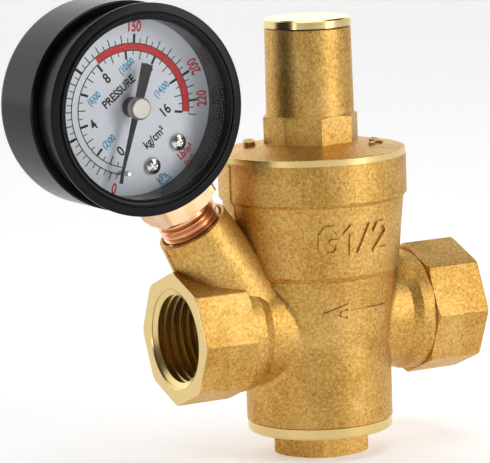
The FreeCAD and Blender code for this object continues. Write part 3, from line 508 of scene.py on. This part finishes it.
# %% Recipe helper
class Recipe:
    """A Geometry Nodes tree being written, with a group input for every named number."""

    def __init__(self, name, inputs):
        self.tree = bpy.data.node_groups.new(name, "GeometryNodeTree")
        face = self.tree.interface
        face.new_socket("Geometry", in_out="INPUT", socket_type="NodeSocketGeometry")
        face.new_socket("Geometry", in_out="OUTPUT", socket_type="NodeSocketGeometry")
        self.ids = {}
        for key, value in inputs.items():
            kind = "NodeSocketInt" if isinstance(value, int) else "NodeSocketFloat"
            made = face.new_socket(key, in_out="INPUT", socket_type=kind)
            made.default_value = value
            self.ids[key] = made.identifier
        self.group = self.tree.nodes.new("NodeGroupInput")
        self.material = None

    def given(self, key):
        return self.group.outputs[key]

    def node(self, kind, settings=None, values=None, out=0):
        made = self.tree.nodes.new(kind)
        for key, value in (settings or {}).items():
            setattr(made, key, value)
        for key, value in (values or {}).items():
            if isinstance(value, bpy.types.NodeSocket):
                self.tree.links.new(value, made.inputs[key])
            else:
                made.inputs[key].default_value = value
        return made.outputs[out]

    def maths(self, operation, a, b=0.0):
        return self.node("ShaderNodeMath", {"operation": operation}, {0: a, 1: b})

    def close(self, geometry):
        """Realize Instances and Set Material end every tree."""
        solid = self.node("GeometryNodeRealizeInstances", None, {0: geometry})
        painted = self.node("GeometryNodeSetMaterial", None, {"Geometry": solid})
        self.material = painted.node
        end = self.tree.nodes.new("NodeGroupOutput")
        self.tree.links.new(painted, end.inputs[0])

    def make(self, name, material, body, place=None, profile=None, **numbers):
        """Runs the tree with these numbers and keeps the result as a plain mesh."""
        self.material.inputs["Material"].default_value = material
        start = bpy.data.meshes.new(name + "_start")
        if profile:
            loop = [(i, (i + 1) % len(profile)) for i in range(len(profile))]
            start.from_pydata(profile, loop, [])
        holder = bpy.data.objects.new(name + "_start", start)
        scene.collection.objects.link(holder)
        modifier = holder.modifiers.new("recipe", "NODES")
        modifier.node_group = self.tree
        for key, value in numbers.items():
            modifier[self.ids[key.replace("_", " ")]] = value
        seen = holder.evaluated_get(bpy.context.evaluated_depsgraph_get())
        mesh = bpy.data.meshes.new_from_object(seen)
        bpy.data.objects.remove(holder)
        mesh.name = name
        return keep_mesh(name, mesh, material, body, place)


# %% [markdown]
# ### Coil
# A wound spring is one wire swept along a helix. Turns, radius, height and wire thickness are the
# sizes a spring maker would ask for.

# %% Coil recipe
coil = Recipe("coil", {"Turns": 6.0, "Radius": 0.006, "Height": 0.02, "Wire": 0.001})
helix = coil.node(
    "GeometryNodeCurveSpiral",
    None,
    {
        "Resolution": 40,
        "Rotations": coil.given("Turns"),
        "Start Radius": coil.given("Radius"),
        "End Radius": coil.given("Radius"),
        "Height": coil.given("Height"),
    },
)
wire = coil.node("GeometryNodeCurvePrimitiveCircle", None, {"Resolution": 14, "Radius": coil.given("Wire")})
swept = coil.node(
    "GeometryNodeCurveToMesh", None, {"Curve": helix, "Profile Curve": wire, "Fill Caps": True}
)
coil.close(swept)


def coil_spring(name, material, node, body, mean, wire_r, turns):
    """A wound spring filling the CAD spring's height, kept clear of its seats."""
    low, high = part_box(node)
    height = high.z - low.z - 2 * wire_r * MM
    place = Matrix.Translation((0, 0, low.z + wire_r * MM))
    numbers = {"Turns": turns, "Radius": mean * MM, "Height": height, "Wire": wire_r * MM}
    piece = coil.make(name, material, body, place, **numbers)
    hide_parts(node)
    return piece


print("coil recipe", len(coil.tree.nodes), "nodes")

# %% [markdown]
# ### Springs
# The main spring is squeezed between the diaphragm's plate and the screw's button; the small one
# lifts the disc. Each is made once at the height of its CAD spring and rides on no body; the table's body
# names are not used.

# %% Springs
for name, node, mean, wire_r, turns, below, above in (
    ("main_coil", "main_spring", 5.7, 1.1, 6.0, "housing", "button"),
    ("return_coil", "return_spring", 8.1, 0.4, 7.0, "housing", "stem_group"),
):
    piece = coil_spring(name, steel, node, None, mean, wire_r, turns)
    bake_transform(piece)
    print(piece.name, len(piece.data.polygons), "faces")

# %% [markdown]
# ### Spun ring
# The gauge's bezel is turned: one closed outline carried round a circle. The outline is drawn in
# millimetres as (radius, depth) corners with their roundings, and the recipe sweeps it, so a
# different bezel only needs a different outline. A sweep has to be checked against its outline:
# this one lays the outline's X outwards while the helper measures it inwards from the mean radius,
# so the ring comes out mirrored about that radius, with its full-depth wall round the window.
# The printed depths show it, and it is still an open fault.

# %% Spun ring recipe
spun = Recipe("spun_ring", {"Sides": 160, "Radius": 0.02})
path = spun.node(
    "GeometryNodeCurvePrimitiveCircle",
    None,
    {"Resolution": spun.given("Sides"), "Radius": spun.given("Radius")},
)
outline = spun.node("GeometryNodeMeshToCurve", None, {0: spun.group.outputs[0]})
ring = spun.node("GeometryNodeCurveToMesh", None, {"Curve": path, "Profile Curve": outline})
spun.close(ring)


def spun_ring(name, corners, material, body, place, mean=20.0, steps=6, sides=160):
    """A ring whose closed outline is given as (radius, height, round) corners in mm."""
    line = rounded(corners, steps)
    profile = [((mean - point[0]) * MM, -point[1] * MM, 0.0) for point in line]
    numbers = {"Sides": sides, "Radius": mean * MM}
    return spun.make(name, material, body, place, profile, **numbers)


BEZEL = [
    (18.25, -13.1),
    (18.25, -13.7, 0.2),
    (20.0, -13.85, 0.08),
    (20.16, -13.55, 0.06),
    (20.34, -13.55, 0.06),
    (20.5, -14.05, 0.12),
    (21.75, -14.1, 1.05),
    (21.75, -4.65, 0.12),
    (21.4, -4.3),
    (20.0, -4.3),
    (20.0, -13.1),
]
bezel = spun_ring("bezel", BEZEL, black_gloss, "housing", TO_GAUGE, sides=192)
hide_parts("gauge_bezel")
flat = [TO_GAUGE.inverted() @ v.co for v in bezel.data.vertices]
NEAR_OUTSIDE = 21.7
rim = [v.z / MM for v in flat if math.hypot(v.x, v.y) > NEAR_OUTSIDE * MM]
print("bezel", len(bezel.data.polygons), "faces, widest from", round(min(rim), 2), "to", round(max(rim), 2))

# %% [markdown]
# ## The dial
# The face is printed in black, red and blue. Each mark is a thin raised solid, as thick as screen-printed
# ink looks close up, so it shows in the mesh as well as in the picture.
# Ticks repeat at a fixed angle, which is what instances are for: one bar is placed on every point,
# turned to its own angle.

# %% Tick recipe
ticks = Recipe(
    "tick_ring",
    {"Count": 10, "First": 0.0, "Step": 0.1, "Inner": 0.012, "Length": 0.001, "Width": 0.0001},
)
points = ticks.node("GeometryNodeMeshLine", None, {"Count": ticks.given("Count")})
index = ticks.node("GeometryNodeInputIndex")
angle = ticks.maths("ADD", ticks.maths("MULTIPLY", index, ticks.given("Step")), ticks.given("First"))
middle = ticks.maths("ADD", ticks.given("Inner"), ticks.maths("MULTIPLY", ticks.given("Length"), 0.5))
across = ticks.maths("MULTIPLY", ticks.maths("COSINE", angle), middle)
upward = ticks.maths("MULTIPLY", ticks.maths("SINE", angle), middle)
spots = ticks.node("ShaderNodeCombineXYZ", None, {0: across, 1: upward})
placed = ticks.node("GeometryNodeSetPosition", None, {"Geometry": points, "Position": spots})
bar_size = ticks.node(
    "ShaderNodeCombineXYZ", None, {0: ticks.given("Length"), 1: ticks.given("Width"), 2: 0.00003}
)
bar = ticks.node("GeometryNodeMeshCube", None, {"Size": bar_size})
facing = ticks.node("ShaderNodeCombineXYZ", None, {2: angle})
stamped = ticks.node(
    "GeometryNodeInstanceOnPoints", None, {"Points": placed, "Instance": bar, "Rotation": facing}
)
ticks.close(stamped)

TO_DIAL = Matrix.Translation((GAUGE + Vector((0, FACE_Y - 0.02, 0))) * MM) @ Matrix.Rotation(
    math.radians(90), 4, "X"
)
SCALE_DROP = 0.47
TO_SCALE = Matrix.Translation((0, 0, -SCALE_DROP * MM)) @ TO_DIAL
ZERO_PSI, PER_PSI = 259.8, -1.17
ZERO_KG, PER_KG = 261.0, -16.8
BAND_OUT, BAND_IN = 13.5, 12.0


def tick_row(name, count, zero, per, first, step, inner, length, width):
    """Ticks at first, first + step and so on, in the scale's own units."""
    numbers = {
        "Count": count,
        "First": math.radians(zero + per * first),
        "Step": math.radians(per * step),
        "Inner": inner * MM,
        "Length": length * MM,
        "Width": width * MM,
    }
    piece = ticks.make(name, ink_black, "housing", TO_SCALE, **numbers)
    return piece


psi = (ZERO_PSI, PER_PSI)
kilo = (ZERO_KG, PER_KG)
rows = [
    tick_row("ticks_5_psi", 23, *psi, 5, 10, BAND_OUT, 1.05, 0.19),
    tick_row("ticks_10_psi", 23, *psi, 10, 10, BAND_OUT, 1.75, 0.22),
    tick_row("ticks_50_psi", 5, *psi, 0, 50, BAND_OUT, 1.9, 0.55),
    tick_row("tick_220_psi", 1, *psi, 220, 50, BAND_OUT, 1.9, 0.45),
    tick_row("ticks_half_kg", 16, *kilo, 0.5, 1, BAND_IN - 0.95, 0.95, 0.19),
    tick_row("ticks_1_kg", 16, *kilo, 1, 1, BAND_IN - 1.7, 1.7, 0.22),
    tick_row("ticks_2_kg", 9, *kilo, 0, 2, BAND_IN - 1.8, 1.8, 0.5),
]
print("tick rows", [len(r.data.polygons) for r in rows])

# %% [markdown]
# ### Printed arcs
# Two fine lines bound the scale, and a red band between them marks the high pressures. An arc is a
# strip of quads with a little thickness, closed at its ends.


# %% Arcs
def arc(name, inner, outer, start, end, material, lift=0.0, height=0.03, steps=120):
    verts = []
    faces = []
    for i in range(steps + 1):
        turn = math.radians(start + (end - start) * i / steps)
        for radius, z in ((inner, 0), (outer, 0), (outer, height), (inner, height)):
            verts.append(Vector((radius * math.cos(turn), radius * math.sin(turn), z + lift)) * MM)
    for i in range(steps):
        for k in range(4):
            a, b = 4 * i + k, 4 * i + (k + 1) % 4
            faces.append((a, b, b + 4, a + 4))
    faces += [(0, 3, 2, 1), (4 * steps, 4 * steps + 1, 4 * steps + 2, 4 * steps + 3)]
    piece = keep(name, verts, faces, material, "housing", TO_SCALE)
    return piece


arc("scale_line_outer", BAND_OUT - 0.1, BAND_OUT + 0.1, 259.8, -8.5, ink_black)
arc("scale_line_inner", BAND_IN - 0.1, BAND_IN + 0.1, 261.0, -7.8, ink_black)
arc("red_band", BAND_IN + 0.1, BAND_OUT - 0.1, 124.8, -7.2, ink_red, 0.001)
print("arcs made")

# %% [markdown]
# ### Figures and words
# Text starts as a curve. It becomes a mesh first, is scaled so that a capital H has the wanted
# height, narrowed like the condensed face on the dial, and only then laid on the plate.


# %% Text helper
def capital_height():
    data = bpy.data.curves.new("measure", "FONT")
    data.body = "H"
    holder = bpy.data.objects.new("measure", data)
    scene.collection.objects.link(holder)
    bpy.context.view_layer.update()
    tall = holder.dimensions.y
    bpy.data.objects.remove(holder)
    return tall


CAPITAL = capital_height()


def printed(text, spot, height, direction, material, narrow=0.78, bold=0.0):
    """Ink letters centred on a point of the dial (mm), their baseline along a direction."""
    data = bpy.data.curves.new(text, "FONT")
    data.body = text
    data.align_x = "CENTER"
    data.resolution_u = 6
    data.extrude = 0.015 * CAPITAL / height
    data.offset = bold
    holder = bpy.data.objects.new(text, data)
    scene.collection.objects.link(holder)
    seen = holder.evaluated_get(bpy.context.evaluated_depsgraph_get())
    mesh = bpy.data.meshes.new_from_object(seen)
    bpy.data.objects.remove(holder)
    size = height / CAPITAL * MM
    shift = Matrix.Translation((0, -CAPITAL / 2, 0))
    scale = Matrix.Diagonal((size * narrow, size, size, 1))
    turn = Matrix.Rotation(math.radians(direction), 4, "Z")
    place = Matrix.Translation((spot[0] * MM, spot[1] * MM, 0.00001))
    letters = "".join(c for c in text if c.isascii() and c.isalnum())
    name = f"print_{letters}_{int(spot[0] * 10)}".replace("-", "m")
    piece = keep_mesh(name, mesh, material, "housing", TO_DIAL @ place @ turn @ scale @ shift)
    return piece


def polar(radius, degrees):
    turn = math.radians(degrees)
    return radius * math.cos(turn), radius * math.sin(turn)


READING = 37.5  # degrees the level words climb
FIGURES_KG = (
    ("8", 8.2, 129.5),
    ("4", 9.13, -161.7),
    ("0", 9.24, -106.9),
    ("12", 8.3, 62.0),
    ("16", 7.96, -10.2),
)
FIGURES_KPA = (
    ("(10)00", 8.49, 94.0),
    ("(6)00", 8.65, 163.6),
    ("(2)00", 8.53, -128.9),
    ("(14)00", 7.83, 22.7),
)
FIGURES_PSI = (
    ("0", 17.0, -105.5, False),
    ("50", 16.6, 202.0, False),
    ("100", 16.5, 143.0, False),
    ("150", 16.5, 84.8, False),
    ("200", 16.5, 25.3, True),
    ("220", 16.5, 1.1, True),
)
for text, radius, degrees in FIGURES_KG:
    printed(text, polar(radius, degrees), 2.1, READING, ink_black, 0.8, 0.022)
for text, radius, degrees in FIGURES_KPA:
    printed(text, polar(radius, degrees), 1.4, READING, ink_blue, 0.72, 0.026)
for text, radius, degrees, inward in FIGURES_PSI:
    direction = degrees + 90 if inward else degrees - 90
    printed(text, polar(radius, degrees), 2.1, direction, ink_red, 0.72, 0.022)
printed("PRESSURE", polar(4.24, 127.8), 1.65, READING, ink_black, 0.85, 0.03)
printed("kg/cm\u00b2", (5.07, -6.74), 1.75, READING, ink_black, 0.8, 0.022)
printed("Lb/in\u00b2", (12.15, -10.27), 1.5, READING, ink_red, 0.78, 0.024)
printed("(psi)", (13.17, -12.2), 1.4, READING, ink_red, 0.78, 0.024)
printed("kPa", (6.5, -15.09), 1.5, READING, ink_blue, 0.8, 0.024)
printed("(bar)", (7.57, -16.28), 1.4, READING, ink_blue, 0.8, 0.024)
print("words and figures printed")

# %% [markdown]
# ## The hand
# A thin stamped strip, narrow at the tip and broad at the balancing tail. Stamping rounds the upper
# edge, so the outline is drawn twice, the front one a little smaller. Its hub carries a plated cap.

# %% Hand
HAND_AT = -107.0
HAND_FRONT, HAND_BACK = -9.4, -9.1
HAND_SIDE = [(15.75, 0.2), (2.2, 0.68), (0, 0.85), (-9.2, 1.3)]
outline = HAND_SIDE + [(x, -z) for x, z in reversed(HAND_SIDE)]


def hand_solid():
    verts = []
    for y, shrink in ((HAND_FRONT, 0.06), (HAND_FRONT + 0.06, 0.0), (HAND_BACK, 0.0)):
        for x, z in outline:
            pull_x = math.copysign(shrink, x) if abs(x) > 9 else 0
            verts.append(Vector((x - pull_x, z - math.copysign(shrink, z), -y)) * MM)
    count = len(outline)
    faces = [tuple(range(count))]
    faces.append(tuple(range(3 * count - 1, 2 * count - 1, -1)))
    for level_at in (0, 1):
        for i in range(count):
            j = (i + 1) % count
            a, b = level_at * count + i, level_at * count + j
            faces.append((a, b, b + count, a + count))
    return verts, faces


TO_HAND = (
    Matrix.Translation(GAUGE * MM)
    @ Matrix.Rotation(math.radians(90), 4, "X")
    @ Matrix.Rotation(math.radians(HAND_AT), 4, "Z")
)
hand = keep("hand", *hand_solid(), hand_black, "pointer_group", TO_HAND)
hub = lathe(rounded([(0, 9.55), (2.25, 9.55, 0.15), (2.25, 9.0), (2.1, 8.8), (2.1, 6.55), (0, 6.55)]), 64)
hub_piece = keep("hand_hub", *hub, hand_black, "pointer_group", TO_HAND)
for piece in (hand, hub_piece):
    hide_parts("pointer")
print("hand", len(hand.data.polygons), "faces")

# %% [markdown]
# ## Stage, light and camera
# A pale floor runs back to a white screen, which the polished edges mirror as a bright rim. The room
# is dimmer than the screen, so brass keeps its depth. Soft boxes stand right and above, and a
# small one at the left looks into the open port.

# %% Stage
def glowing(name, colour, strength):
    finish = Finish(name)
    cloud = finish.noise(3.0, 2.0, 0.5)
    finish.set(Base_Color=colour, Roughness=0.9, Emission_Strength=strength)
    finish.set(Emission_Color=finish.ramp(cloud, [(0.2, colour), (0.8, colour)]))
    return finish.material


def stage_plane(name, corners, material):
    mesh = bpy.data.meshes.new(name)
    mesh.from_pydata(corners, [], [(0, 1, 2, 3)])
    mesh.materials.append(material)
    plane = bpy.data.objects.new(name, mesh)
    scene.collection.objects.link(plane)
    return plane


floor_white = glowing("floor_white", (0.92, 0.92, 0.92), 0.4)
screen_white = glowing("screen_white", (1.0, 1.0, 1.0), 1.0)
stage_plane("floor", [(-6, -6, 0), (6, -6, 0), (6, 6, 0), (-6, 6, 0)], floor_white)
stage_plane("screen", [(-4, 2.5, -0.1), (6, 2.5, -0.1), (6, 2.5, 4), (-4, 2.5, 4)], screen_white)
world = bpy.data.worlds.new("studio")
world.use_nodes = True
world.node_tree.nodes["Background"].inputs[0].default_value = (1.0, 1.0, 1.0, 1.0)
world.node_tree.nodes["Background"].inputs[1].default_value = 0.07
scene.world = world
scene.view_settings.view_transform = "Standard"


def area_light(name, spot, target, size, power, colour=(1.0, 1.0, 1.0)):
    data = bpy.data.lights.new(name, "AREA")
    data.shape = "RECTANGLE"
    data.size, data.size_y = size
    data.energy = power
    data.color = colour
    lamp = bpy.data.objects.new(name, data)
    lamp.location = spot
    aim = Vector(target) - Vector(spot)
    lamp.rotation_euler = aim.to_track_quat("-Z", "Y").to_euler()
    scene.collection.objects.link(lamp)
    return lamp


area_light("key", (0.45, -0.75, 0.35), (0, 0, 0.05), (0.28, 0.7), 3.5)
area_light("port", (-0.85, -0.4, 0.12), (-0.03, 0, 0.03), (0.16, 0.16), 0.35)
area_light("top", (0.0, -0.1, 0.95), (0, 0, 0.05), (0.7, 0.5), 3.0)
print("stage set")

# %% [markdown]
# ## Camera
# A long lens from some way off keeps the octagons square. The camera stands to the left of the
# front and a little above it.

# %% Camera
AIM = Vector((-12.86, 7.13, 19.69 + AXIS_Z))
DISTANCE = 734.92
FOCAL = 253.08
TURN, RISE, ROLL = (math.radians(a) for a in (-29.01, 8.93, -2.06))
back = Vector(
    (
        math.sin(TURN) * math.cos(RISE),
        -math.cos(TURN) * math.cos(RISE),
        math.sin(RISE),
    )
)
level = Vector((math.cos(TURN), math.sin(TURN), 0.0))
upright = back.cross(level)
right = level * math.cos(ROLL) + upright * math.sin(ROLL)
up = upright * math.cos(ROLL) - level * math.sin(ROLL)
spot = (AIM + back * DISTANCE) * MM
lens_data = bpy.data.cameras.new("camera")
lens_data.sensor_width = 36.0
lens_data.lens = FOCAL
lens_data.clip_start = 0.05
lens_data.clip_end = 20.0
camera = bpy.data.objects.new("camera", lens_data)
turn = Matrix((right, up, back)).transposed().to_4x4()
camera.matrix_world = Matrix.Translation(spot) @ turn
scene.collection.objects.link(camera)
scene.camera = camera
print("camera at", [round(v, 3) for v in spot])
